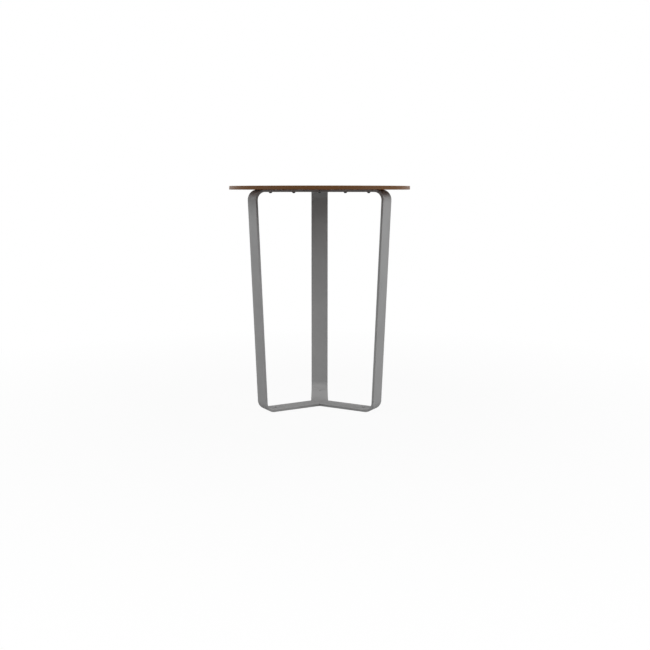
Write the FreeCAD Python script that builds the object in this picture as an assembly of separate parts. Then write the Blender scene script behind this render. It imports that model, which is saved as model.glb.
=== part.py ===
"""Round dining table: a thin round top on three bent flat bars welded together at two hubs.

Millimetres. The origin is on the table's axis at the floor, +Z points up, and the rear leg
points along +Y. Each bar is an upper arm, a leg that leans out a little and a lower arm. The
upper and lower arms meet in a mitred, welded star on the axis. Button head screws with washers go
up through the upper arms into blind threaded inserts in the underside of the top.
"""
import FreeCAD, Part
import math
import os

from FreeCAD import Vector

# Top panel
table_height = 755.0
top_diameter = 610.0
top_thickness = 12.0
top_edge_radius = 1.2

# Flat bar of the legs
bar_width = 60.0
bar_thickness = 8.0
bar_edge_radius = 0.8
bend_inside_radius = 26.0
upper_reach = 257.0
lower_reach = 224.5

# Weld seams where the arms meet
seam_root_width = 2.0
seam_face_width = 5.0
seam_end_setback = 2.5

# Screws from the arms into the top
screws_from_bend = 35.0
screw_spacing = 87.0
thread_diameter = 6.0
head_diameter = 10.5
head_height = 3.3
head_rim_height = 0.7
socket_across_flats = 4.0
socket_depth = 2.1
screw_tip_chamfer = 0.7
screw_hole_clearance = 0.6

# Flat washers between the screws' heads and the arms
washer_diameter = 12.0
washer_thickness = 1.0
washer_bore_clearance = 0.4

# Threaded inserts in the top
insert_diameter = 9.0
insert_groove_depth = 0.5
insert_rib_height = 1.2
insert_rib_count = 4
top_skin_over_insert = 2.5
insert_end_clearance = 0.5
screw_end_clearance = 2.0

# Anchor holes in the lower arms
anchor_hole_diameter = 9.0
anchor_from_bend = 18.0

# Length by which a cutting solid runs past what it cuts
overrun = 5.0

# Names of the three legs, and of the seams that follow them round the axis
leg_names = ("rear", "front_left", "front_right")
seam_names = ("left", "front", "right")
rear_angle = 90.0
leg_turn = 360.0 / len(leg_names)

up = Vector(0, 0, 1)
across = Vector(0, 1, 0)

# Sizes that follow from the driving ones
top_underside = table_height - top_thickness
arm_underside = top_underside - bar_thickness
lean = math.atan2(upper_reach - lower_reach, top_underside)
bend_outside_radius = bend_inside_radius + bar_thickness
upper_turn = math.pi / 2 + lean
lower_turn = math.pi / 2 - lean
upper_flat_end = upper_reach - bend_outside_radius * math.tan(upper_turn / 2)
lower_flat_end = lower_reach - bend_outside_radius * math.tan(lower_turn / 2)
outer_screw_reach = upper_flat_end - screws_from_bend
screw_reaches = {"inner": outer_screw_reach - screw_spacing, "outer": outer_screw_reach}
anchor_reach = lower_flat_end - anchor_from_bend
insert_pocket_depth = top_thickness - top_skin_over_insert
insert_length = insert_pocket_depth - insert_end_clearance
head_seat = arm_underside - washer_thickness
screw_length = washer_thickness + bar_thickness + insert_length - screw_end_clearance


def leg_angle(place):
    """Angle of a leg about the table's axis, in degrees."""
    return rear_angle + place * leg_turn


def seam_angle(place):
    """Angle of the seam between a leg and the next one, in degrees."""
    return leg_angle(place) + leg_turn / 2


def turned(shape, angle):
    """The shape turned about the table's axis."""
    copy = shape.copy()
    copy.rotate(Vector(0, 0, 0), up, angle)
    return copy


def on_arc(centre, radius, angle):
    """Point of an arc in the plane of a leg, its angle measured from the floor's outward line."""
    return centre + Vector(radius * math.cos(angle), 0, radius * math.sin(angle))


def arc(centre, radius, start, end):
    """Arc in the plane of a leg from one angle to another."""
    middle = (start + end) / 2
    points = [on_arc(centre, radius, angle) for angle in (start, middle, end)]
    return Part.Arc(*points).toShape()


def line(start, end):
    """Straight edge between two points."""
    return Part.LineSegment(start, end).toShape()


def bar_outline():
    """Side view of one bent bar: outer face out and up, end face, inner face back, end face."""
    low = Vector(lower_flat_end, 0, bend_outside_radius)
    high = Vector(upper_flat_end, 0, top_underside - bend_outside_radius)
    floor_way = -math.pi / 2
    top_way = math.pi / 2
    edges = []
    for radius in (bend_outside_radius, bend_inside_radius):
        low_start = on_arc(low, radius, floor_way)
        low_end = on_arc(low, radius, -lean)
        high_start = on_arc(high, radius, -lean)
        high_end = on_arc(high, radius, top_way)
        edges.append(line(Vector(0, 0, low_start.z), low_start))
        edges.append(arc(low, radius, floor_way, -lean))
        edges.append(line(low_end, high_start))
        edges.append(arc(high, radius, -lean, top_way))
        edges.append(line(high_end, Vector(0, 0, high_end.z)))
    edges.append(line(Vector(0, 0, 0), Vector(0, 0, bar_thickness)))
    edges.append(line(Vector(0, 0, arm_underside), Vector(0, 0, top_underside)))
    return Part.Wire(Part.__sortEdges__(edges))


def is_long_edge(edge):
    """True for an edge that runs along the bar on one of its two sides, not across its width."""
    ends = edge.BoundBox
    on_a_side = abs(ends.YMax - ends.YMin) < bar_edge_radius
    at_the_axis = ends.XMax < bar_edge_radius
    return on_a_side and not at_the_axis


def straight_cut_bar():
    """One bent bar pointing along +X, with eased long edges and square ends at the axis."""
    face = Part.Face(bar_outline())
    face.translate(across * (-bar_width / 2))
    bar = face.extrude(across * bar_width)
    return bar.makeFillet(bar_edge_radius, [edge for edge in bar.Edges if is_long_edge(edge)])


def mitre_wedge():
    """Space that one leg may fill round the axis: its share of the full turn."""
    reach = upper_reach + overrun
    half = math.radians(leg_turn / 2)
    corners = [
        Vector(0, 0, -overrun),
        Vector(reach, -reach * math.tan(half), -overrun),
        Vector(reach, reach * math.tan(half), -overrun),
    ]
    face = Part.Face(Part.makePolygon(corners + corners[:1]))
    return face.extrude(up * (table_height + 2 * overrun))


def seam_section(half_width, height, setback):
    """Plan of a seam pointing along +X: pointed at the axis, and square at its outer end, which
    stops short of the corner between the two arms by the setback."""
    half = math.radians(leg_turn / 2)
    nose = half_width / math.tan(half)
    corner = (bar_width / 2 + half_width * math.cos(half)) / math.sin(half)
    end = corner - setback
    points = [
        Vector(0, 0, height),
        Vector(nose, -half_width, height),
        Vector(end, -half_width, height),
        Vector(end, half_width, height),
        Vector(nose, half_width, height),
    ]
    return Part.makePolygon(points + points[:1])


def seam(root_height, face_height, setback):
    """V-shaped butt weld pointing along +X, narrow at its root and wide at its ground face."""
    root = seam_section(seam_root_width / 2, root_height, setback)
    face = seam_section(seam_face_width / 2, face_height, setback)
    return Part.makeLoft([root, face], True, True)


def upper_seam(setback):
    """Weld between two upper arms, its wide face down."""
    return seam(top_underside, arm_underside, setback)


def lower_seam(setback):
    """Weld between two lower arms, its wide face up."""
    return seam(0, bar_thickness, setback)


def welds():
    """The six welds by name. They leave a small notch at each corner between two arms."""
    shapes = {}
    for place, name in enumerate(seam_names):
        shapes["upper_weld_" + name] = turned(upper_seam(seam_end_setback), seam_angle(place))
        shapes["lower_weld_" + name] = turned(lower_seam(seam_end_setback), seam_angle(place))
    return shapes


def hole(diameter, reach, bottom, length):
    """Upright cutting cylinder on a leg's centre line."""
    return Part.makeCylinder(diameter / 2, length, Vector(reach, 0, bottom), up)


def mitred_bar():
    """One bar cut to its share of the hubs and back from the weld gaps on both sides."""
    bar = straight_cut_bar().common(mitre_wedge())
    for side in (-1, 1):
        for gap in (upper_seam(0), lower_seam(0)):
            bar = bar.cut(turned(gap, side * leg_turn / 2))
    return bar


def bored_bar():
    """One mitred bar with its two screw holes and its anchor hole, pointing along +X."""
    bar = mitred_bar()
    length = bar_thickness + 2 * overrun
    for reach in screw_reaches.values():
        cutter = hole(thread_diameter + screw_hole_clearance, reach, arm_underside - overrun, length)
        bar = bar.cut(cutter)
    return bar.cut(hole(anchor_hole_diameter, anchor_reach, -overrun, length))


def legs():
    """The three legs by name."""
    bar = bored_bar()
    return {"leg_" + name: turned(bar, leg_angle(place)) for place, name in enumerate(leg_names)}


def screw_shank():
    """Threaded shank along +Z from the head's seat at 0, with a chamfered tip."""
    radius = thread_diameter / 2
    straight = screw_length - screw_tip_chamfer
    shank = Part.makeCylinder(radius, straight)
    tip = Part.makeCone(radius, radius - screw_tip_chamfer, screw_tip_chamfer, Vector(0, 0, straight))
    return shank.fuse(tip)


def screw_head():
    """Domed head below its seat at 0: a short rim, then a crown level on the screw's axis."""
    radius = head_diameter / 2
    crown = head_height - head_rim_height
    sphere_radius = (radius ** 2 + crown ** 2) / (2 * crown)
    middle_reach = radius / 2
    middle_drop = sphere_radius - math.sqrt(sphere_radius ** 2 - middle_reach ** 2)
    rim_end = Vector(radius, 0, -head_rim_height)
    middle = Vector(middle_reach, 0, middle_drop - head_height)
    pole = Vector(0, 0, -head_height)
    edges = [
        line(Vector(0, 0, 0), Vector(radius, 0, 0)),
        line(Vector(radius, 0, 0), rim_end),
        Part.Arc(rim_end, middle, pole).toShape(),
        line(pole, Vector(0, 0, 0)),
    ]
    return Part.Face(Part.Wire(edges)).revolve(Vector(0, 0, 0), up, 360)


def hex_socket():
    """Six-sided socket cut into the crown of the head."""
    reach = socket_across_flats / 2 / math.cos(math.pi / 6)
    bottom = -head_height - overrun
    angles = [step * math.pi / 3 for step in range(7)]
    points = [Vector(reach * math.cos(angle), reach * math.sin(angle), bottom) for angle in angles]
    return Part.Face(Part.makePolygon(points)).extrude(up * (overrun + socket_depth))


def screw():
    """Button head socket screw along +Z, its head's seat at 0."""
    return screw_shank().fuse(screw_head()).removeSplitter().cut(hex_socket())


def washer():
    """Flat washer along +Z from 0, with a bore that clears the screw's thread."""
    ring = Part.makeCylinder(washer_diameter / 2, washer_thickness)
    bore_radius = (thread_diameter + washer_bore_clearance) / 2
    return ring.cut(Part.makeCylinder(bore_radius, washer_thickness))


def insert():
    """Ribbed insert along +Z from 0, with a through bore for the screw's thread."""
    radius = insert_diameter / 2
    body = Part.makeCylinder(radius - insert_groove_depth, insert_length)
    step = (insert_length - insert_rib_height) / (insert_rib_count - 1)
    for rib in range(insert_rib_count):
        body = body.fuse(Part.makeCylinder(radius, insert_rib_height, Vector(0, 0, rib * step)))
    return body.removeSplitter().cut(Part.makeCylinder(thread_diameter / 2, insert_length))


def fixings():
    """All screws, washers and inserts by name: one of each at every screw hole."""
    kinds = {
        "screw": (screw(), head_seat),
        "washer": (washer(), head_seat),
        "insert": (insert(), top_underside),
    }
    shapes = {}
    for place, leg in enumerate(leg_names):
        for end, reach in screw_reaches.items():
            for kind, (base, height) in kinds.items():
                fixing = base.copy()
                fixing.translate(Vector(reach, 0, height))
                shapes[kind + "_" + leg + "_" + end] = turned(fixing, leg_angle(place))
    return shapes


def top():
    """Round top with eased edges and one blind pocket for each insert."""
    panel = Part.makeCylinder(top_diameter / 2, top_thickness, Vector(0, 0, top_underside))
    rims = [edge for edge in panel.Edges if len(edge.Vertexes) == 1]
    panel = panel.makeFillet(top_edge_radius, rims)
    for place in range(len(leg_names)):
        for reach in screw_reaches.values():
            start = top_underside - overrun
            pocket = hole(insert_diameter, reach, start, overrun + insert_pocket_depth)
            panel = panel.cut(turned(pocket, leg_angle(place)))
    return panel


def all_pieces():
    """Every piece of the table by node name."""
    pieces = {"table_top": top()}
    pieces.update(legs())
    pieces.update(welds())
    pieces.update(fixings())
    return pieces


os.makedirs("parts", exist_ok=True)
for node, shape in all_pieces().items():
    solid = shape.Solids[0]
    print(node, len(shape.Solids), "valid", shape.isValid(), "volume", round(shape.Volume, 1))
    solid.exportStep("parts/" + node + ".step")
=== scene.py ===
import math

import bmesh
import bpy
import numpy as np
from mathutils import Matrix, Vector


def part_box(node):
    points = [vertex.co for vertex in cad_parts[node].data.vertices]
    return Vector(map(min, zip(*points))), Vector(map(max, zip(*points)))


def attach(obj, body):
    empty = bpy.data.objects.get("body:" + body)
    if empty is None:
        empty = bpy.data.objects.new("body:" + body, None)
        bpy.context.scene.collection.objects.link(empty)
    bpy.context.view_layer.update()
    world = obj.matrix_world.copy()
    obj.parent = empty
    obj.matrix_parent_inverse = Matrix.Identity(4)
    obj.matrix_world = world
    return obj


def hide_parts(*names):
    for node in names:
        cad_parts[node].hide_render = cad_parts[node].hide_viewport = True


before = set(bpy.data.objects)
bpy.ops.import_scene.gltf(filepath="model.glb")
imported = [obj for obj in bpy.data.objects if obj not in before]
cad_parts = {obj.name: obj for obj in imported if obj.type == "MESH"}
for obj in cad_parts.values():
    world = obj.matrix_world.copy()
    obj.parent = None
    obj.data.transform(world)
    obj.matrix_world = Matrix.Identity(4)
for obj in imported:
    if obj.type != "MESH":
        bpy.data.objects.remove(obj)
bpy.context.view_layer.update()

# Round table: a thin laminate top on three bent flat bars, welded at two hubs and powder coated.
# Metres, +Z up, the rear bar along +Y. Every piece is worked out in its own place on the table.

# Sizes of the top
TABLE_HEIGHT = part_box("table_top")[1].z
TOP_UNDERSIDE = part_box("table_top")[0].z
TOP_RADIUS = 0.305
TOP_EDGE_RADIUS = 0.0012

# Sizes of the flat bar
BAR_WIDTH = 0.060
BAR_THICKNESS = 0.008
BAR_EDGE_RADIUS = 0.0008
BEND_INSIDE_RADIUS = 0.026
UPPER_REACH = 0.257
LOWER_REACH = 0.2245
LEG_ANGLES = {"rear": 90.0, "front_left": 210.0, "front_right": 330.0}

# Sizes of the weld seams
SEAM_ROOT_WIDTH = 0.002
SEAM_FACE_WIDTH = 0.005
SEAM_END_SETBACK = 0.001
SEAM_END_HOLLOW = 0.002
SEAM_CROWN = 0.0005
SEAM_RIPPLE_PITCH = 0.0018
SEAM_RIPPLE_SHARE = 0.15
SEAM_NOSE_SHARE = 0.04
SEAM_ANGLES = {"left": 150.0, "front": 270.0, "right": 30.0}
SEAM_HALF_TURN = math.radians(60.0)

# Sizes of the screws, washers and inserts
THREAD_RADIUS = 0.003
THREAD_DEPTH = 0.00055
THREAD_PITCH = 0.001
HEAD_RADIUS = 0.00525
HEAD_HEIGHT = 0.0033
HEAD_RIM = 0.0007
HEAD_EASE = 0.0002
SOCKET_FLATS = 0.004
SOCKET_DEPTH = 0.0021
SOCKET_CONE = 0.0006
SOCKET_FLARE = 0.0003
SCREW_HOLE_RADIUS = 0.0033
WASHER_RADIUS = 0.006
WASHER_THICKNESS = 0.001
WASHER_BORE_RADIUS = 0.0032
WASHER_EASE = 0.0002
INSERT_RADIUS = 0.0045
INSERT_GROOVE = 0.0005
POCKET_END_CLEARANCE = 0.0005
ANCHOR_HOLE_RADIUS = 0.0045
ANCHOR_FROM_BEND = 0.018
HOLE_EASE = 0.0004

# Shapes of the thread, the insert's ribs and its serration: a wave is multiplied by its steepness,
# lowered by its cut and held between 0 and 1
THREAD_STEEPNESS = 1.5
THREAD_CUT = 0.2
THREAD_RUNOUT_SHARE = 0.7
INSERT_THREAD_SHARE = 0.9
INSERT_RIB_GAPS = 3
INSERT_RIB_STEEPNESS = 1.6
INSERT_RIB_CUT = 0.2
SERRATION_COUNT = 24
SERRATION_SHARE = 0.2

# How finely the meshes are divided
TOP_SEGMENTS = 360
TOP_FACE_RINGS = 9
TOP_EDGE_STEPS = 6
ARM_POINTS = 25
BEND_POINTS = 17
LEG_POINTS = 33
BAR_CORNER_POINTS = 5
BAR_FACE_POINTS = 13
HOLE_SEGMENTS = 64
EASE_STEPS = 4
SEAM_NOSE_POINTS = 5
SEAM_LENGTH_POINTS = 160
SEAM_WIDTH_POINTS = 13
SEAM_DEPTH_POINTS = 5
SCREW_SEGMENTS = 72
DOME_POINTS = 9
THREAD_LEVELS_PER_PITCH = 8
INSERT_SEGMENTS = 96
INSERT_LEVELS = 61

# Distance of doubled points, thickness of a face without area, angle of a sharp edge, and the
# least share of Z in a level face's normal
MERGE_DISTANCE = 0.000002
FLAT_DISTANCE = 0.000001
CREASE_ANGLE = math.radians(30.0)
LEVEL_NORMAL = 0.999

# Noise of the finishes: its range, the middle part that most of it fills and its mean, then the
# wood grain's slant to X, and patterns as detail and repeats per metre along X, Y and Z
WHOLE = (0.0, 1.0)
NOISE_MIDDLE = (0.3, 0.7)
GRAIN_MIDDLE = (0.32, 0.68)
NOISE_MEAN = 0.5
GRAIN_SLANT = math.radians(3.0)
GRAIN_DRIFT = (2.0, (2.2, 5.0, 0.5))
GRAIN_PATTERNS = {
    "Bands": (3.0, (1.1, 34.0, 1.0)),
    "Streaks": (3.0, (3.0, 190.0, 1.0)),
    "Pores": (2.0, (38.0, 900.0, 1.0)),
}
LAMINATE_LAYERS = (2.0, (6.0, 6.0, 1400.0))

# Sockets of the Mix node where it mixes colours
MIX_MASK, MIX_FIRST, MIX_SECOND, MIX_RESULT = 0, 6, 7, 2

# The camera, solved from the edges of the top and the bars in the photograph
CAMERA_HEIGHT = 0.7370
CAMERA_DISTANCE = 3.0941
CAMERA_PITCH = math.radians(8.418)
CAMERA_LENS_MM = 50.0
CAMERA_SENSOR_MM = 36.0
IMAGE_WIDTH_PX = 650
TABLE_AXIS_COLUMN_PX = 319.59

# The studio: a soft world, square lamps (place and watts) all round, and a pale floor
WORLD_STRENGTH = 0.13
LAMP_SIDE = 2.0
LAMP_AIM = (0, 0, 0.4)
LAMPS = {
    "left_low_lamp": ((-4.0, -1.9, 1.2), 40.0),
    "left_high_lamp": ((-2.6, -1.2, 3.85), 58.0),
    "right_low_lamp": ((4.0, -1.9, 1.2), 24.0),
    "right_high_lamp": ((3.5, -1.65, 2.65), 94.5),
    "front_high_lamp": ((0, -3.2, 3.6), 33.0),
    "back_left_lamp": ((-2.8, 3.2, 1.8), 34.0),
    "back_right_lamp": ((2.8, 3.2, 1.8), 34.0),
}
FLOOR_HALF_SIDE = 6.0
FLOOR_GREY = 146
FLOOR_ROUGHNESS = 0.9
FLOOR_WHITE_NEAR = 0.95
FLOOR_FADE_FROM = 0.5
FLOOR_FADE_TO = 1.8

# Sizes that follow from the driving ones
ARM_UNDERSIDE = TOP_UNDERSIDE - BAR_THICKNESS
HEAD_SEAT = ARM_UNDERSIDE - WASHER_THICKNESS
BEND_OUTSIDE_RADIUS = BEND_INSIDE_RADIUS + BAR_THICKNESS
LEAN = math.atan2(UPPER_REACH - LOWER_REACH, TOP_UNDERSIDE)
UPPER_FLAT_END = UPPER_REACH - BEND_OUTSIDE_RADIUS * math.tan((math.pi / 2 + LEAN) / 2)
LOWER_FLAT_END = LOWER_REACH - BEND_OUTSIDE_RADIUS * math.tan((math.pi / 2 - LEAN) / 2)
ANCHOR_REACH = LOWER_FLAT_END - ANCHOR_FROM_BEND
FACE_TOLERANCE = TOP_EDGE_RADIUS / 10


def colour(red, green, blue):
    """Linear colour of an 8-bit display colour, by the sRGB curve."""
    shares = np.array([red, green, blue]) / 255.0
    linear = np.where(shares <= 0.04045, shares / 12.92, ((shares + 0.055) / 1.055) ** 2.4)
    return (*linear.tolist(), 1.0)


# Meshes: grids of points joined by quads

def grid_faces(rows, columns, closed_columns=True):
    """Quads between the rows of a grid of points, whose columns may close into a loop."""
    last = columns if closed_columns else columns - 1
    row, column = np.meshgrid(np.arange(rows - 1), np.arange(last), indexing="ij")
    after = (column + 1) % columns
    near, far = row * columns, (row + 1) * columns
    return np.stack([near + column, near + after, far + after, far + column], axis=-1).reshape(-1, 4)


def new_mesh(name, points, faces):
    """A mesh of these points and quads, with doubled points merged and faces pointing out."""
    mesh = bpy.data.meshes.new(name)
    mesh.from_pydata(points.reshape(-1, 3).tolist(), [], faces.tolist())
    return cleaned(mesh)


def cleaned(mesh):
    """The mesh with doubled points merged, flat faces gone and all faces pointing out."""
    work = bmesh.new()
    work.from_mesh(mesh)
    bmesh.ops.remove_doubles(work, verts=work.verts, dist=MERGE_DISTANCE)
    bmesh.ops.dissolve_degenerate(work, edges=work.edges, dist=FLAT_DISTANCE)
    bmesh.ops.recalc_face_normals(work, faces=work.faces)
    work.to_mesh(mesh)
    work.free()
    return mesh


def full_turn(segments):
    """Angles of one full turn, as a row."""
    return np.linspace(0, 2 * math.pi, segments, endpoint=False)[None, :]


def turned_points(radius, angle, height):
    """Points at these radii and heights, each turned about the upright axis by its angle."""
    x = radius * np.cos(angle)
    y = radius * np.sin(angle)
    return np.stack([x, y, height + 0 * x], axis=-1)


def lathe_mesh(name, profile, segments):
    """A profile of (radius, height) rows turned about the upright axis: x = r cos a, y = r sin a."""
    radius, height = np.array(profile).T
    points = turned_points(radius[:, None], full_turn(segments), height[:, None])
    return new_mesh(name, points, grid_faces(len(profile), segments))


def profile_arc(centre, radius, start, end, steps):
    """Points of an arc in a profile: centre plus radius times the cosine and sine of an angle that
    goes from start to end, in degrees."""
    x, y = centre
    turns = np.radians(np.linspace(start, end, steps + 1))
    return [(x + radius * math.cos(turn), y + radius * math.sin(turn)) for turn in turns]


def cut_by(mesh, cutters):
    """The mesh with these cutting meshes taken out of it."""
    body = bpy.data.objects.new("work_body", mesh)
    bpy.context.scene.collection.objects.link(body)
    tools = []
    for cutter in cutters:
        tool = bpy.data.objects.new("work_cutter", cutter)
        bpy.context.scene.collection.objects.link(tool)
        cut = body.modifiers.new("cut", "BOOLEAN")
        cut.operation = "DIFFERENCE"
        cut.solver = "EXACT"
        cut.object = tool
        tools.append(tool)
    bpy.context.view_layer.update()
    depsgraph = bpy.context.evaluated_depsgraph_get()
    result = bpy.data.meshes.new_from_object(body.evaluated_get(depsgraph))
    for work in [body, *tools]:
        bpy.data.objects.remove(work)
    return cleaned(result)


def placed(mesh, name, reach, angle):
    """A copy of a mesh moved out along +X by its reach and turned about the table's axis."""
    copy = mesh.copy()
    copy.name = name
    copy.transform(Matrix.Rotation(math.radians(angle), 4, "Z") @ Matrix.Translation((reach, 0, 0)))
    return copy


def add_piece(mesh, name, node_name, materials):
    """Makes a mesh a piece of the table that stands for one CAD node."""
    for material in materials:
        mesh.materials.append(material)
    mesh.shade_smooth()
    mesh.set_sharp_from_angle(angle=CREASE_ANGLE)
    piece = bpy.data.objects.new(name, mesh)
    bpy.context.scene.collection.objects.link(piece)
    weighted = piece.modifiers.new("weighted_normals", "WEIGHTED_NORMAL")
    weighted.keep_sharp = True
    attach(piece, "root")
    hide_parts(node_name)


# Shader nodes

def add_node(tree, kind, inputs=None, **settings):
    """Adds a shader node with its plain settings and the values of its unlinked inputs."""
    made = tree.nodes.new(kind)
    for name, value in settings.items():
        setattr(made, name, value)
    for name, value in (inputs or {}).items():
        made.inputs[name].default_value = value
    return made


def new_material(name, **inputs):
    """A material with one Principled shader whose plain inputs are set directly."""
    material = bpy.data.materials.new(name)
    material.use_nodes = True
    tree = material.node_tree
    shader = tree.nodes["Principled BSDF"]
    for socket, value in inputs.items():
        shader.inputs[socket.replace("_", " ")].default_value = value
    return material, tree, shader


def mixed_colour(tree, mask, first, second):
    """Colour that goes from the first to the second as the mask goes from 0 to 1."""
    mix = add_node(tree, "ShaderNodeMix", data_type="RGBA")
    tree.links.new(mask, mix.inputs[MIX_MASK])
    for place, value in ((MIX_FIRST, first), (MIX_SECOND, second)):
        if isinstance(value, tuple):
            mix.inputs[place].default_value = value
        else:
            tree.links.new(value, mix.inputs[place])
    return mix.outputs[MIX_RESULT]


def ranged(tree, value, old, new):
    """The value mapped from its old range, (low, high), to the new one and held inside it."""
    limits = {"From Min": old[0], "From Max": old[1], "To Min": new[0], "To Max": new[1]}
    mapped = add_node(tree, "ShaderNodeMapRange", limits)
    tree.links.new(value, mapped.inputs["Value"])
    return mapped.outputs["Result"]


def bumped(tree, height, distance):
    """Normal of a surface raised by height times distance."""
    bump = add_node(tree, "ShaderNodeBump", {"Distance": distance, "Strength": 1.0})
    tree.links.new(height, bump.inputs["Height"])
    return bump.outputs["Normal"]


def new_group(name, inputs, outputs):
    """An empty node group with float inputs, float outputs and the two nodes that carry them."""
    group = bpy.data.node_groups.new(name, "ShaderNodeTree")
    for socket, value in inputs.items():
        made = group.interface.new_socket(socket, in_out="INPUT", socket_type="NodeSocketFloat")
        made.default_value = value
    for socket in outputs:
        group.interface.new_socket(socket, in_out="OUTPUT", socket_type="NodeSocketFloat")
    start = group.nodes.new("NodeGroupInput")
    end = group.nodes.new("NodeGroupOutput")
    return group, start, end


def use_group(tree, group, **inputs):
    """A group's node in a material, with its own values."""
    made = tree.nodes.new("ShaderNodeGroup")
    made.node_tree = group
    for socket, value in inputs.items():
        made.inputs[socket.replace("_", " ")].default_value = value
    return made


def finish_surface(tree, shader, base, roughness, normal):
    """Feeds a shader's colour, roughness and normal."""
    for socket, output in (("Base Color", base), ("Roughness", roughness), ("Normal", normal)):
        tree.links.new(output, shader.inputs[socket])


def stretched_noise(tree, vector, detail, repeats):
    """Noise drawn out by its repeats per metre along each axis, which the vector is multiplied by."""
    mapping = add_node(tree, "ShaderNodeMapping", {"Scale": repeats})
    noise = add_node(tree, "ShaderNodeTexNoise", {"Scale": 1.0, "Detail": detail, "Roughness": 0.55})
    tree.links.new(vector, mapping.inputs["Vector"])
    tree.links.new(mapping.outputs["Vector"], noise.inputs["Vector"])
    return noise.outputs["Fac"]


def coat_texture_group():
    """Fine grit and slow mottle of a sprayed or plated coat, both from 0 to 1."""
    scales = {"Grit Scale": 900.0, "Mottle Scale": 14.0}
    group, start, end = new_group("coat_texture", scales, ["Grit", "Mottle"])
    place = add_node(group, "ShaderNodeTexCoord")
    for scale, detail, output in (("Grit Scale", 3.0, "Grit"), ("Mottle Scale", 2.0, "Mottle")):
        noise = add_node(group, "ShaderNodeTexNoise", {"Detail": detail, "Roughness": 0.6})
        group.links.new(place.outputs["Object"], noise.inputs["Vector"])
        group.links.new(start.outputs[scale], noise.inputs["Scale"])
        group.links.new(noise.outputs["Fac"], end.inputs[output])
    return group


def wood_grain_group():
    """Straight grain along X that wanders a little: bands, fine streaks and pores, each 0 to 1."""
    group, start, end = new_group("wood_grain", {"Wander": 0.010}, list(GRAIN_PATTERNS))
    place = add_node(group, "ShaderNodeTexCoord")
    turn = add_node(group, "ShaderNodeMapping", {"Rotation": (0, 0, GRAIN_SLANT)})
    group.links.new(place.outputs["Object"], turn.inputs["Vector"])
    drift = stretched_noise(group, turn.outputs["Vector"], *GRAIN_DRIFT)
    centred = add_node(group, "ShaderNodeMath", {1: NOISE_MEAN}, operation="SUBTRACT")
    group.links.new(drift, centred.inputs[0])
    shift = add_node(group, "ShaderNodeMath", operation="MULTIPLY")
    group.links.new(centred.outputs[0], shift.inputs[0])
    group.links.new(start.outputs["Wander"], shift.inputs[1])
    sideways = add_node(group, "ShaderNodeCombineXYZ")
    group.links.new(shift.outputs[0], sideways.inputs["Y"])
    moved = add_node(group, "ShaderNodeVectorMath", operation="ADD")
    group.links.new(turn.outputs["Vector"], moved.inputs[0])
    group.links.new(sideways.outputs[0], moved.inputs[1])
    for output, (detail, repeats) in GRAIN_PATTERNS.items():
        pattern = stretched_noise(group, moved.outputs[0], detail, repeats)
        group.links.new(ranged(group, pattern, GRAIN_MIDDLE, WHOLE), end.inputs[output])
    return group


def powder_coat_material(coat_group):
    """Silver-grey powder coat: matte, with a fine sprayed grit and a barely uneven tone."""
    material, tree, shader = new_material(
        "powder_coat_silver_grey", Metallic=0.0, IOR=1.5, Specular_IOR_Level=0.25)
    darker, lighter, speck = colour(141, 141, 141), colour(148, 148, 148), colour(170, 170, 171)
    coat = use_group(tree, coat_group, Grit_Scale=1100.0, Mottle_Scale=9.0)
    grit = coat.outputs["Grit"]
    tone = ranged(tree, coat.outputs["Mottle"], NOISE_MIDDLE, WHOLE)
    even = mixed_colour(tree, tone, darker, lighter)
    specks = ranged(tree, grit, (0.35, 0.7), (0.0, 0.35))
    base = mixed_colour(tree, specks, even, speck)
    roughness = ranged(tree, grit, NOISE_MIDDLE, (0.52, 0.64))
    finish_surface(tree, shader, base, roughness, bumped(tree, grit, distance=0.00006))
    return material


def wood_face_material(grain_group):
    """Laminate face with an orange-brown wood grain under a satin surface."""
    material, tree, shader = new_material("laminate_wood_face", IOR=1.5, Specular_IOR_Level=0.01)
    late_wood, early_wood = colour(147, 80, 30), colour(169, 99, 41)
    streak, pore = colour(131, 69, 26), colour(95, 50, 23)
    grain = use_group(tree, grain_group, Wander=0.012)
    streaks, pores = grain.outputs["Streaks"], grain.outputs["Pores"]
    bands = mixed_colour(tree, grain.outputs["Bands"], late_wood, early_wood)
    streak_mask = ranged(tree, streaks, WHOLE, (0.55, 0.0))
    pore_mask = ranged(tree, pores, (0.0, 0.35), (0.5, 0.0))
    lined = mixed_colour(tree, streak_mask, bands, streak)
    base = mixed_colour(tree, pore_mask, lined, pore)
    roughness = ranged(tree, streaks, WHOLE, (0.60, 0.50))
    finish_surface(tree, shader, base, roughness, bumped(tree, pores, distance=0.00002))
    return material


def laminate_core_material():
    """Dark brown machined edge of the laminate, with the faint level lines of its layers."""
    material, tree, shader = new_material("laminate_core_edge", IOR=1.5, Specular_IOR_Level=0.15)
    darker, lighter = colour(95, 64, 37), colour(109, 75, 45)
    place = add_node(tree, "ShaderNodeTexCoord")
    layers = stretched_noise(tree, place.outputs["Object"], *LAMINATE_LAYERS)
    base = mixed_colour(tree, ranged(tree, layers, NOISE_MIDDLE, WHOLE), darker, lighter)
    roughness = ranged(tree, layers, NOISE_MIDDLE, (0.58, 0.46))
    finish_surface(tree, shader, base, roughness, bumped(tree, layers, distance=0.00004))
    return material


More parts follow.
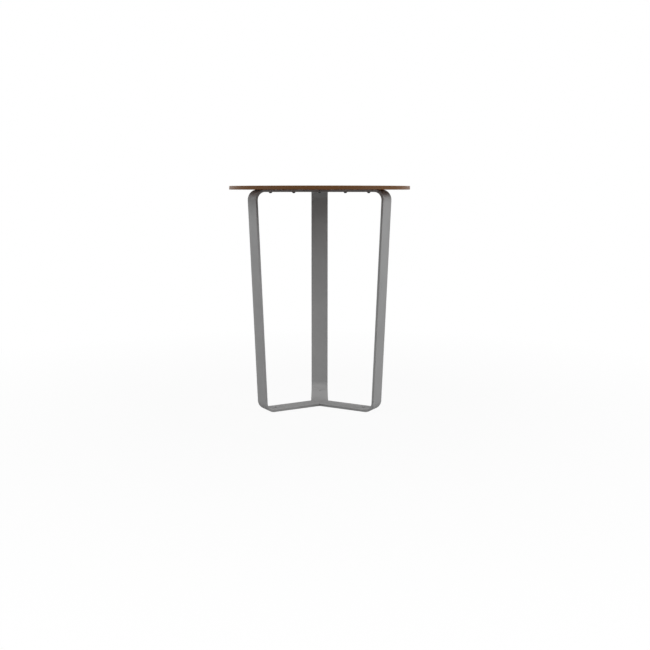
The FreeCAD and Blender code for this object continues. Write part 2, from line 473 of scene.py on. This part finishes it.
def black_zinc_material(coat_group):
    """Near-black plated steel of the screws and washers."""
    material, tree, shader = new_material("black_zinc", Metallic=0.0, Specular_IOR_Level=0.1)
    darker, lighter = colour(9, 9, 10), colour(18, 18, 20)
    coat = use_group(tree, coat_group, Grit_Scale=2600.0, Mottle_Scale=160.0)
    grit, mottle = coat.outputs["Grit"], coat.outputs["Mottle"]
    base = mixed_colour(tree, ranged(tree, mottle, NOISE_MIDDLE, WHOLE), darker, lighter)
    roughness = ranged(tree, grit, NOISE_MIDDLE, (0.34, 0.5))
    finish_surface(tree, shader, base, roughness, bumped(tree, grit, distance=0.000008))
    return material


def brass_material(coat_group):
    """Turned brass of the threaded inserts, slightly dulled."""
    material, tree, shader = new_material("turned_brass", Metallic=1.0)
    dulled, bright = colour(176, 138, 74), colour(208, 172, 104)
    coat = use_group(tree, coat_group, Grit_Scale=3000.0, Mottle_Scale=220.0)
    grit, mottle = coat.outputs["Grit"], coat.outputs["Mottle"]
    base = mixed_colour(tree, ranged(tree, mottle, NOISE_MIDDLE, WHOLE), dulled, bright)
    roughness = ranged(tree, mottle, NOISE_MIDDLE, (0.38, 0.24))
    finish_surface(tree, shader, base, roughness, bumped(tree, grit, distance=0.000006))
    return material


# The round top

def pocket_cutter(reach, angle):
    """Plain cylinder that cuts one blind pocket into the underside of the top."""
    bottom = TOP_UNDERSIDE - BAR_THICKNESS / 2
    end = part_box("insert_rear_inner")[1].z + POCKET_END_CLEARANCE
    profile = [(0, bottom), (INSERT_RADIUS, bottom), (INSERT_RADIUS, end), (0, end)]
    return placed(lathe_mesh("pocket", profile, HOLE_SEGMENTS), "pocket", reach, angle)


def top_mesh(screw_reaches):
    """The top: rings of the two flat faces joined by eased arrises and a straight edge, turned."""
    ease = TOP_EDGE_RADIUS
    rim = TOP_RADIUS - ease
    rings = np.linspace(0, rim, TOP_FACE_RINGS)
    upper = [(ring, TABLE_HEIGHT) for ring in rings[:-1]]
    upper += profile_arc((rim, TABLE_HEIGHT - ease), ease, 90, 0, TOP_EDGE_STEPS)
    lower = profile_arc((rim, TOP_UNDERSIDE + ease), ease, 0, -90, TOP_EDGE_STEPS)
    lower += [(ring, TOP_UNDERSIDE) for ring in rings[-2::-1]]
    mesh = lathe_mesh("top_panel", upper + lower, TOP_SEGMENTS)
    cutters = [pocket_cutter(reach, angle) for reach in screw_reaches for angle in LEG_ANGLES.values()]
    return cut_by(mesh, cutters)


def mark_core(mesh):
    """Gives the core material to all but the two flat faces of the top."""
    count = len(mesh.polygons)
    normal = np.zeros(count * 3)
    centre = np.zeros(count * 3)
    mesh.polygons.foreach_get("normal", normal)
    mesh.polygons.foreach_get("center", centre)
    height = centre.reshape(-1, 3)[:, 2]
    level = np.abs(normal.reshape(-1, 3)[:, 2]) > LEVEL_NORMAL
    from_face = np.minimum(np.abs(height - TABLE_HEIGHT), np.abs(height - TOP_UNDERSIDE))
    core = ~(level & (from_face < FACE_TOLERANCE))
    mesh.polygons.foreach_set("material_index", core.astype(np.int32))


# The bent flat bars

def bend_points(reach, height, turn):
    """Reach and height of the bar's middle line round a bend: its centre plus the middle radius
    times the cosine and sine of the turn."""
    middle = BEND_INSIDE_RADIUS + BAR_THICKNESS / 2
    return np.stack([reach + middle * np.cos(turn), height + middle * np.sin(turn)])


def bar_path():
    """Centre line of the bar in its upright plane, as reach, height, angle of the outward normal,
    and the share of the mitre's setback that applies, from 1 at a hub to 0 where the arm ends."""
    down, up = -math.pi / 2, math.pi / 2
    low, high = BEND_OUTSIDE_RADIUS, TOP_UNDERSIDE - BEND_OUTSIDE_RADIUS
    arm = np.linspace(0, 1, ARM_POINTS)
    lower_turn = np.linspace(down, -LEAN, BEND_POINTS)
    upper_turn = np.linspace(-LEAN, up, BEND_POINTS)
    lower_bend = bend_points(LOWER_FLAT_END, low, lower_turn)
    upper_bend = bend_points(UPPER_FLAT_END, high, upper_turn)
    leg = np.linspace(lower_bend[:, -1], upper_bend[:, 0], LEG_POINTS, axis=1)
    stretches = [
        (LOWER_FLAT_END * arm, BAR_THICKNESS / 2, down, 1 - arm),
        (*lower_bend[:, 1:], lower_turn[1:], 0),
        (*leg[:, 1:-1], -LEAN, 0),
        (*upper_bend, upper_turn, 0),
        (UPPER_FLAT_END * arm[-2::-1], TOP_UNDERSIDE - BAR_THICKNESS / 2, up, 1 - arm[-2::-1]),
    ]
    return np.concatenate([np.stack(np.broadcast_arrays(*stretch)) for stretch in stretches], axis=1)


def bar_half_section():
    """Outer half of the bar's section as depth outward and place across: side, corner, face, corner."""
    flat_depth = BAR_THICKNESS / 2 - BAR_EDGE_RADIUS
    flat_half = BAR_WIDTH / 2 - BAR_EDGE_RADIUS
    turn = np.linspace(0, math.pi / 2, BAR_CORNER_POINTS)
    depth = flat_depth + BAR_EDGE_RADIUS * np.sin(turn)
    across = flat_half + BAR_EDGE_RADIUS * np.cos(turn)
    face = np.linspace(-flat_half, flat_half, BAR_FACE_POINTS)[1:-1]
    all_depth = np.concatenate([[0], depth, 0 * face + BAR_THICKNESS / 2, depth[::-1], [0]])
    all_across = np.concatenate([[-BAR_WIDTH / 2], -across, face, across[::-1], [BAR_WIDTH / 2]])
    return all_depth, all_across


def mitre_setback(depth, across):
    """How far from the table's axis the bar begins: its end lies on the two planes of the seams,
    whose half width grows from the root on the outward side to the face on the inward side."""
    inward = 1 / 2 - depth / BAR_THICKNESS
    half_width = (SEAM_ROOT_WIDTH + (SEAM_FACE_WIDTH - SEAM_ROOT_WIDTH) * inward) / 2
    return (half_width + np.abs(across) * math.cos(SEAM_HALF_TURN)) / math.sin(SEAM_HALF_TURN)


def solid_bar_mesh():
    """The section carried along the path: reach plus depth times the cosine of the normal's angle,
    height plus depth times its sine, and each arm squeezed back to the mitre at its hub."""
    depth, across = bar_half_section()
    loop_depth = np.concatenate([depth, -depth[-2:0:-1]])
    loop_across = np.concatenate([across, across[-2:0:-1]])
    reach, height, angle, setback = bar_path()[:, :, None]
    start = mitre_setback(loop_depth, loop_across)[None, :]
    x = reach + setback * start + loop_depth * np.cos(angle)
    y = loop_across[None, :] + 0 * x
    z = height + loop_depth * np.sin(angle)
    rows, columns = x.shape
    half = len(depth)
    outer = np.arange(half)
    inner = (columns - outer) % columns
    cap = np.stack([outer[:-1], outer[1:], inner[1:], inner[:-1]], axis=-1)
    faces = np.concatenate([grid_faces(rows, columns), cap, cap + (rows - 1) * columns])
    return new_mesh("flat_bar", np.stack([x, y, z], axis=-1), faces)


def hole_cutter(radius, reach, low, high):
    """Cylinder with flared ends, so that the hole's rims are rounded by the ease."""
    wide = radius + HOLE_EASE
    over = BAR_THICKNESS / 2
    profile = [(0, low - over), (wide, low - over)]
    profile += profile_arc((wide, low + HOLE_EASE), HOLE_EASE, 270, 180, EASE_STEPS)
    profile += profile_arc((wide, high - HOLE_EASE), HOLE_EASE, 180, 90, EASE_STEPS)
    profile += [(wide, high + over), (0, high + over)]
    return placed(lathe_mesh("hole", profile, HOLE_SEGMENTS), "hole", reach, 0)


def bar_mesh(screw_reaches):
    """One bar along +X with its two screw holes and its anchor hole."""
    cutters = []
    for reach in screw_reaches:
        cutters.append(hole_cutter(SCREW_HOLE_RADIUS, reach, ARM_UNDERSIDE, TOP_UNDERSIDE))
    cutters.append(hole_cutter(ANCHOR_HOLE_RADIUS, ANCHOR_REACH, 0, BAR_THICKNESS))
    return cut_by(solid_bar_mesh(), cutters)


# The weld seams

def block_mesh(name, place, u, v, t):
    """Closed skin of a block whose point at shares (u, v, t) is place(u, v, t): each of its six
    sides holds one share at its first or last value and runs over the other two."""
    points, faces, count = [], [], 0
    for fixed in range(3):
        for end in (0, -1):
            shares = [u, v, t]
            shares[fixed] = shares[fixed][[end]]
            side = np.stack(np.broadcast_arrays(*place(*np.ix_(*shares))), axis=-1).squeeze(axis=fixed)
            rows, columns = side.shape[:2]
            faces.append(grid_faces(rows, columns, False) + count)
            points.append(side.reshape(-1, 3))
            count += rows * columns
    return new_mesh(name, np.concatenate(points), np.concatenate(faces))


def seam_end(half_width, v):
    """Where a seam ends: its setback short of the corner between the two arms, and hollowed between
    them by the hollow times one minus the square of v."""
    corner = (BAR_WIDTH / 2 + half_width * math.cos(SEAM_HALF_TURN)) / math.sin(SEAM_HALF_TURN)
    return corner - SEAM_END_SETBACK - SEAM_END_HOLLOW * (1 - v ** 2)


def seam_mesh(root_height, face_height):
    """Weld along +X from the axis to the corner between two arms. Its half width is the lesser of
    x tan 60 and the seam's, which narrows from face to root. Its face is raised by the crown times
    one minus the square of y over the half width, rippled by a cosine along curved lines."""
    slope = math.tan(SEAM_HALF_TURN)
    side = math.copysign(1, face_height - root_height)

    def place(u, v, t):
        half_width = (SEAM_FACE_WIDTH + (SEAM_ROOT_WIDTH - SEAM_FACE_WIDTH) * t) / 2
        nose = half_width / slope
        end = seam_end(half_width, v)
        x = nose * np.clip(u / SEAM_NOSE_SHARE, 0, 1)
        x = x + (end - nose) * np.clip((u - SEAM_NOSE_SHARE) / (1 - SEAM_NOSE_SHARE), 0, 1)
        y = v * np.minimum(half_width, x * slope)
        ripples = (x + y ** 2 / SEAM_FACE_WIDTH) / SEAM_RIPPLE_PITCH
        ripple = 1 + SEAM_RIPPLE_SHARE * np.cos(2 * math.pi * ripples)
        fade = np.sqrt(np.clip((end - x) / SEAM_FACE_WIDTH, 0, 1))
        crown = side * SEAM_CROWN * (1 - (y / half_width) ** 2) * ripple * fade * (1 - t)
        return x, y, face_height + (root_height - face_height) * t + crown

    nose_shares = np.linspace(0, SEAM_NOSE_SHARE, SEAM_NOSE_POINTS)
    length_shares = np.linspace(SEAM_NOSE_SHARE, 1, SEAM_LENGTH_POINTS)[1:]
    along = np.concatenate([nose_shares, length_shares])
    wide = np.linspace(-1, 1, SEAM_WIDTH_POINTS)
    deep = np.linspace(0, 1, SEAM_DEPTH_POINTS)
    return block_mesh("weld_seam", place, along, wide, deep)


# The screws, washers and inserts

def thread_wave(height, angle):
    """Height of a thread from 0 at its root to 1 at its crest: a triangle wave of z over the pitch
    minus the turn, with its crest and root cut flat."""
    phase = np.mod(height / THREAD_PITCH - angle / (2 * math.pi), 1)
    wave = 1 - np.abs(2 * phase - 1)
    return np.clip(THREAD_STEEPNESS * wave - THREAD_CUT, 0, 1)


def hexagon_radius(angle):
    """Distance to a hexagon's side: half the size across flats over the cosine of the angle from
    the nearest flat's middle."""
    from_flat = np.mod(angle, math.pi / 3) - math.pi / 6
    return SOCKET_FLATS / 2 / np.cos(from_flat)


def screw_mesh(tip_height):
    """Button head screw from below: socket floor, hexagon wall, crown, rim, seat, thread and tip.
    The crown's height is the head's height less x squared over twice the crown's radius."""
    angle = full_turn(SCREW_SEGMENTS)
    low = HEAD_SEAT - HEAD_HEIGHT
    crown = HEAD_HEIGHT - HEAD_RIM
    crown_radius = (HEAD_RADIUS ** 2 + crown ** 2) / (2 * crown)
    hexagon = hexagon_radius(angle)

    def crown_height(radius):
        return low + crown_radius - np.sqrt(crown_radius ** 2 - radius ** 2)

    mouth = hexagon + SOCKET_FLARE
    socket = [(0 * angle, low + SOCKET_DEPTH + SOCKET_CONE), (hexagon, low + SOCKET_DEPTH),
              (hexagon, crown_height(mouth) + SOCKET_FLARE), (mouth, crown_height(mouth))]
    dome_shares = np.linspace(0, 1, DOME_POINTS)[1:, None]
    dome_radius = mouth + (HEAD_RADIUS - HEAD_EASE - mouth) * dome_shares
    dome = list(zip(dome_radius, crown_height(dome_radius)))
    seat = [(HEAD_RADIUS, low + crown), (HEAD_RADIUS, HEAD_SEAT - HEAD_EASE),
            (HEAD_RADIUS - HEAD_EASE, HEAD_SEAT), (THREAD_RADIUS, HEAD_SEAT)]
    core = THREAD_RADIUS - THREAD_DEPTH
    thread_end = tip_height - THREAD_PITCH * THREAD_RUNOUT_SHARE
    levels = np.arange(HEAD_SEAT + THREAD_PITCH, thread_end, THREAD_PITCH / THREAD_LEVELS_PER_PITCH)
    thread = [(core + THREAD_DEPTH * thread_wave(level, angle), level) for level in levels]
    tip = [(core, tip_height - THREAD_PITCH / 2), (core - THREAD_DEPTH, tip_height), (0, tip_height)]
    profile = socket + dome + seat + thread + tip
    rings = [np.broadcast_arrays(radius, height, angle)[:2] for radius, height in profile]
    radius, height = [np.concatenate(values).reshape(len(rings), -1) for values in zip(*rings)]
    points = turned_points(radius, angle, height)
    return new_mesh("button_screw", points, grid_faces(len(rings), SCREW_SEGMENTS))


def washer_mesh():
    """Flat washer turned from its section: two flat faces, a bore and eased edges."""
    outer = WASHER_RADIUS - WASHER_EASE
    inner = WASHER_BORE_RADIUS + WASHER_EASE
    low, high = HEAD_SEAT + WASHER_EASE, ARM_UNDERSIDE - WASHER_EASE
    corners = {-90: (outer, low), 0: (outer, high), 90: (inner, high), 180: (inner, low)}
    profile = []
    for start, centre in corners.items():
        profile += profile_arc(centre, WASHER_EASE, start, start + 90, EASE_STEPS)
    return lathe_mesh("flat_washer", profile + profile[:1], SCREW_SEGMENTS)


def insert_mesh(bottom, end):
    """Brass insert: ribbed and serrated outside, threaded inside. The outer radius drops by the
    groove between the ribs, by a cosine of the height that is cut flat, and each rib is notched by
    a cosine of the angle times the serration's count."""
    angle = full_turn(INSERT_SEGMENTS)
    z = np.linspace(bottom, end, INSERT_LEVELS)[:, None]
    wave = np.cos(2 * math.pi * INSERT_RIB_GAPS * (z - bottom) / (end - bottom))
    rib = np.clip(INSERT_RIB_STEEPNESS * wave - INSERT_RIB_CUT, 0, 1)
    notch = 1 - SERRATION_SHARE * (1 - np.cos(SERRATION_COUNT * angle))
    outer = INSERT_RADIUS - INSERT_GROOVE * (1 - rib * notch)
    inner = THREAD_RADIUS - THREAD_DEPTH * INSERT_THREAD_SHARE * (1 - thread_wave(z, angle))
    radius = np.concatenate([outer, inner[::-1], outer[:1]])
    height = np.concatenate([z, z[::-1], z[:1]])
    points = turned_points(radius, angle, height)
    return new_mesh("threaded_insert", points, grid_faces(len(radius), INSERT_SEGMENTS))


# Putting the table together

def middle_reach(node_name):
    """Distance of a rear node's middle from the table's axis."""
    low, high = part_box(node_name)
    return (low.y + high.y) / 2


def build_top(reaches, face, core):
    """The round top with its wood-grain faces and dark edge."""
    mesh = top_mesh(reaches.values())
    mark_core(mesh)
    add_piece(mesh, "top_panel", "table_top", [face, core])


def build_frame(reaches, coat):
    """The three bars and the six weld seams."""
    bar = bar_mesh(reaches.values())
    for side, angle in LEG_ANGLES.items():
        name = "bar_" + side
        add_piece(placed(bar, name, 0, angle), name, "leg_" + side, [coat])
    seams = {"upper": seam_mesh(TOP_UNDERSIDE, ARM_UNDERSIDE), "lower": seam_mesh(0, BAR_THICKNESS)}
    for level, seam in seams.items():
        for side, angle in SEAM_ANGLES.items():
            name = level + "_seam_" + side
            node_name = level + "_weld_" + side
            add_piece(placed(seam, name, 0, angle), name, node_name, [coat])


def build_fixings(reaches, zinc, brass):
    """Six screws, washers and inserts: one of each at every screw hole."""
    insert_low, insert_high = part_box("insert_rear_inner")
    fixings = {
        "button_": ("screw_", screw_mesh(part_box("screw_rear_inner")[1].z), "screw_black", zinc),
        "ring_": ("washer_", washer_mesh(), "screw_black", zinc),
        "sleeve_": ("insert_", insert_mesh(insert_low.z, insert_high.z), "insert_brass", brass),
    }
    for leg, angle in LEG_ANGLES.items():
        for end, reach in reaches.items():
            place = leg + "_" + end
            for title, (node, mesh, slot, material) in fixings.items():
                piece = placed(mesh, title + place, reach, angle)
                add_piece(piece, title + place, node + place, [material])


# The floor, the lights and the camera

def white_to_the_eye(tree, shader_output, share):
    """Mixes plain white, by this share, into what the camera, gloss and glass see of a surface."""
    path = add_node(tree, "ShaderNodeLightPath")
    seen = path.outputs["Is Camera Ray"]
    for kind in ("Is Glossy Ray", "Is Transmission Ray"):
        either = add_node(tree, "ShaderNodeMath", operation="MAXIMUM")
        tree.links.new(seen, either.inputs[0])
        tree.links.new(path.outputs[kind], either.inputs[1])
        seen = either.outputs[0]
    shown = add_node(tree, "ShaderNodeMath", operation="MULTIPLY")
    tree.links.new(seen, shown.inputs[0])
    tree.links.new(share, shown.inputs[1])
    white = add_node(tree, "ShaderNodeEmission", {"Color": (1, 1, 1, 1), "Strength": 1.0})
    mix = add_node(tree, "ShaderNodeMixShader")
    tree.links.new(shown.outputs[0], mix.inputs[0])
    tree.links.new(shader_output, mix.inputs[1])
    tree.links.new(white.outputs[0], mix.inputs[2])
    return mix.outputs[0]


def build_floor():
    """A plain pale floor that keeps a faint shadow by the table and fades to white further out."""
    half = FLOOR_HALF_SIDE
    corners = [(-half, -half, 0), (half, -half, 0), (half, half, 0), (-half, half, 0)]
    mesh = bpy.data.meshes.new("studio_floor")
    mesh.from_pydata(corners, [], [[0, 1, 2, 3]])
    grey = colour(FLOOR_GREY, FLOOR_GREY, FLOOR_GREY)
    material, tree, shader = new_material("pale_floor", Base_Color=grey, Roughness=FLOOR_ROUGHNESS)
    place = add_node(tree, "ShaderNodeTexCoord")
    distance = add_node(tree, "ShaderNodeVectorMath", operation="LENGTH")
    tree.links.new(place.outputs["Object"], distance.inputs[0])
    fade = (FLOOR_FADE_FROM, FLOOR_FADE_TO)
    share = ranged(tree, distance.outputs["Value"], fade, (FLOOR_WHITE_NEAR, 1.0))
    surface = white_to_the_eye(tree, shader.outputs[0], share)
    tree.links.new(surface, tree.nodes["Material Output"].inputs["Surface"])
    mesh.materials.append(material)
    floor = bpy.data.objects.new("studio_floor", mesh)
    bpy.context.scene.collection.objects.link(floor)


def build_world():
    """Soft white light from all round, which the camera sees as plain white."""
    world = bpy.data.worlds.new("studio_world")
    world.use_nodes = True
    tree = world.node_tree
    sky = tree.nodes["Background"]
    sky.inputs["Color"].default_value = (1, 1, 1, 1)
    sky.inputs["Strength"].default_value = WORLD_STRENGTH
    whole = add_node(tree, "ShaderNodeValue")
    whole.outputs[0].default_value = 1.0
    surface = white_to_the_eye(tree, sky.outputs[0], whole.outputs[0])
    tree.links.new(surface, tree.nodes["World Output"].inputs["Surface"])
    bpy.context.scene.world = world


def build_lamps():
    """The square area lamps, each turned to face the middle of the table."""
    for name, (place, watts) in LAMPS.items():
        light = bpy.data.lights.new(name, "AREA")
        light.shape = "SQUARE"
        light.size = LAMP_SIDE
        light.energy = watts
        lamp = bpy.data.objects.new(name, light)
        lamp.location = place
        lamp.rotation_euler = (Vector(LAMP_AIM) - Vector(place)).to_track_quat("-Z", "Y").to_euler()
        bpy.context.scene.collection.objects.link(lamp)


def build_camera():
    """The camera in front of the table, pitched down, with the table's axis at its column."""
    lens = bpy.data.cameras.new("photo_camera")
    lens.sensor_fit = "HORIZONTAL"
    lens.sensor_width = CAMERA_SENSOR_MM
    lens.lens = CAMERA_LENS_MM
    lens.shift_x = (IMAGE_WIDTH_PX / 2 - TABLE_AXIS_COLUMN_PX) / IMAGE_WIDTH_PX
    camera = bpy.data.objects.new("photo_camera", lens)
    camera.location = (0, -CAMERA_DISTANCE, CAMERA_HEIGHT)
    camera.rotation_euler = (math.pi / 2 - CAMERA_PITCH, 0, 0)
    bpy.context.scene.collection.objects.link(camera)
    bpy.context.scene.camera = camera


def build_table():
    """Every piece of the table with its material."""
    coat_group = coat_texture_group()
    reaches = {end: middle_reach("screw_rear_" + end) for end in ("inner", "outer")}
    build_top(reaches, wood_face_material(wood_grain_group()), laminate_core_material())
    build_frame(reaches, powder_coat_material(coat_group))
    build_fixings(reaches, black_zinc_material(coat_group), brass_material(coat_group))


build_table()
build_floor()
build_world()
build_lamps()
build_camera()
bpy.context.scene.view_settings.view_transform = "Standard"
